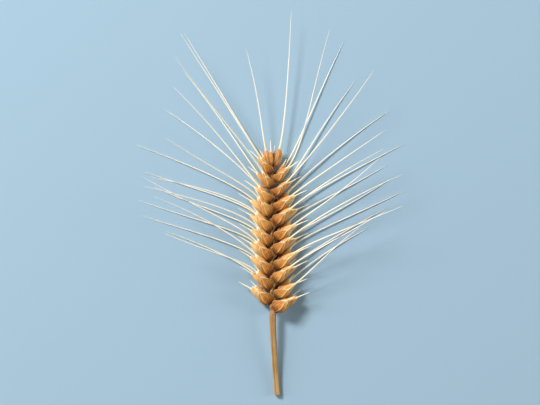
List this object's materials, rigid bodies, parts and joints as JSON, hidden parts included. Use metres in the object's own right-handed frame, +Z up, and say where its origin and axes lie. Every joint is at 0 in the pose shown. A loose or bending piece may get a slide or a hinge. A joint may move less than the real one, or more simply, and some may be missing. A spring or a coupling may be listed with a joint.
{
  "type": "wheat ear",
  "caption": "Ripe bearded wheat ear lying on its side: straw, zigzag rachis, overlapping spikelets on both sides, long spreading awns.",
  "frame": {"origin": "under the middle of the whole lying ear, straw and awns included, on the surface it rests on", "axes": "+Y along the ear from the straw's cut end to its tip, +Z up from the surface, +X to the right seen from above"},
  "size_m": [0.1374, 0.1953, 0.036],
  "materials": {
    "straw": "satin dry straw with fine lengthwise ribs",
    "glume": "satin papery chaff, golden brown with pale veins",
    "floret": "satin papery husk, pale gold, with cream awns"
  },
  "bodies": {
    "root": {"stem_and_rachis": "straw", "sterile_spikelet_01": "glume", "sterile_spikelet_02": "glume", "spikelet_03_glumes_and_middle_floret": "glume", "spikelet_03_front_floret": "floret", "spikelet_03_back_floret": "floret", "spikelet_04_glumes_and_middle_floret": "glume", "spikelet_04_front_floret": "floret", "spikelet_04_back_floret": "floret", "spikelet_05_glumes_and_middle_floret": "glume", "spikelet_05_front_floret": "floret", "spikelet_05_back_floret": "floret", "spikelet_06_glumes_and_middle_floret": "glume", "spikelet_06_front_floret": "floret", "spikelet_06_back_floret": "floret", "spikelet_07_glumes_and_middle_floret": "glume", "spikelet_07_front_floret": "floret", "spikelet_07_back_floret": "floret", "spikelet_08_glumes_and_middle_floret": "glume", "spikelet_08_front_floret": "floret", "spikelet_08_back_floret": "floret", "spikelet_09_glumes_and_middle_floret": "glume", "spikelet_09_front_floret": "floret", "spikelet_09_back_floret": "floret", "spikelet_10_glumes_and_middle_floret": "glume", "spikelet_10_front_floret": "floret", "spikelet_10_back_floret": "floret", "spikelet_11_glumes_and_middle_floret": "glume", "spikelet_11_front_floret": "floret", "spikelet_11_back_floret": "floret", "spikelet_12_glumes_and_middle_floret": "glume", "spikelet_12_front_floret": "floret", "spikelet_12_back_floret": "floret", "spikelet_13_glumes_and_middle_floret": "glume", "spikelet_13_front_floret": "floret", "spikelet_13_back_floret": "floret", "spikelet_14_glumes_and_middle_floret": "glume", "spikelet_14_front_floret": "floret", "spikelet_14_back_floret": "floret", "spikelet_15_glumes_and_middle_floret": "glume", "spikelet_15_front_floret": "floret", "spikelet_15_back_floret": "floret", "spikelet_16_glumes_and_middle_floret": "glume", "spikelet_16_front_floret": "floret", "spikelet_16_back_floret": "floret", "spikelet_17_glumes_and_middle_floret": "glume", "spikelet_17_front_floret": "floret", "spikelet_17_back_floret": "floret", "spikelet_18_glumes_and_middle_floret": "glume", "spikelet_18_front_floret": "floret", "spikelet_18_back_floret": "floret", "spikelet_19_glumes_and_middle_floret": "glume", "spikelet_19_front_floret": "floret", "spikelet_19_back_floret": "floret", "spikelet_20_glumes_and_middle_floret": "glume", "spikelet_20_front_floret": "floret", "spikelet_20_back_floret": "floret", "terminal_spikelet_glumes_and_middle_floret": "glume", "terminal_spikelet_left_floret": "floret", "terminal_spikelet_right_floret": "floret"}
  },
  "joints": []
}
